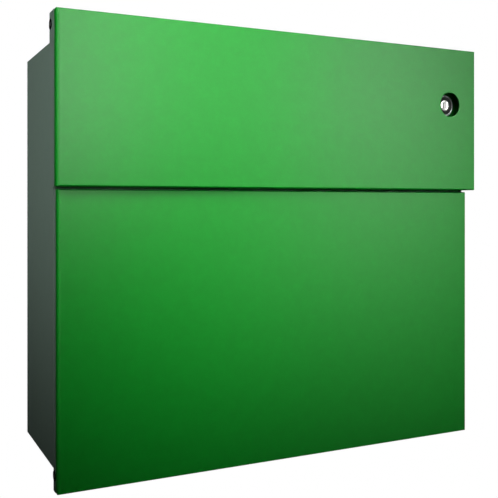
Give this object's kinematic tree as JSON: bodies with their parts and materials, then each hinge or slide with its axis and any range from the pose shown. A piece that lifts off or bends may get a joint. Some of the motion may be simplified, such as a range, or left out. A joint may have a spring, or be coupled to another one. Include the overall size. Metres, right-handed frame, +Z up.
{
  "type": "wall mounted mailbox",
  "caption": "Sheet-steel wall mailbox: box body, lockable drop-down door with a mail slot, and an overlapping top flap over the slot.",
  "frame": {"origin": "centre of the wall fixing hole pattern on the back face", "axes": "+X to the right seen from the front, +Y into the wall, +Z up"},
  "size_m": [0.395, 0.1294, 0.36],
  "materials": {
    "green_coat": "green powder coat, satin, fine texture",
    "grey_coat": "grey powder coat, satin",
    "zinc": "zinc plated",
    "lock_chrome": "polished nickel",
    "black_plastic": "moulded, black",
    "rubber": "moulded, black"
  },
  "bodies": {
    "box": {"back_panel": "grey_coat", "roof_panel": "grey_coat", "floor_panel": "grey_coat", "left_side_wall": "grey_coat", "right_side_wall": "grey_coat", "left_hinge_bracket": "grey_coat", "right_hinge_bracket": "grey_coat", "bracket_rivets": "zinc", "door_hinge_pins": "zinc", "door_bumpers": "rubber"},
    "door": {"lower_front_panel": "green_coat", "upper_front_panel": "green_coat", "left_door_rail": "grey_coat", "right_door_rail": "grey_coat", "door_bottom_rail": "grey_coat", "door_middle_rail": "grey_coat", "door_top_rail": "grey_coat", "door_hinge_bushes": "black_plastic", "door_panel_studs": "zinc", "door_panel_nuts": "zinc", "mail_slot_trim": "black_plastic", "flap_bumpers": "rubber", "flap_hinge_pins": "zinc", "lock_housing": "lock_chrome", "lock_ring": "black_plastic", "lock_nut": "zinc"},
    "flap": {"flap_panel": "green_coat", "left_flap_cheek": "grey_coat", "right_flap_cheek": "grey_coat", "flap_top_rail": "grey_coat", "flap_bottom_rail": "grey_coat", "flap_hinge_bushes": "black_plastic", "flap_panel_studs": "zinc", "flap_panel_nuts": "zinc"},
    "lock_rotor": {"lock_plug": "lock_chrome", "lock_cam": "zinc", "cam_screw": "zinc"}
  },
  "joints": [
    {"name": "door_hinge", "type": "hinge", "parent": "box", "child": "door", "pos_m": [0, -0.1104, -0.1664], "axis": [1, 0, 0], "range_deg": [0, 90]},
    {"name": "flap_hinge", "type": "hinge", "parent": "door", "child": "flap", "pos_m": [0, -0.1104, 0.1723], "axis": [-1, 0, 0], "range_deg": [0, 75]},
    {"name": "lock_turn", "type": "hinge", "parent": "door", "child": "lock_rotor", "pos_m": [0.1666, -0.112, 0.1295], "axis": [0, -1, 0], "range_deg": [0, 90]}
  ]
}
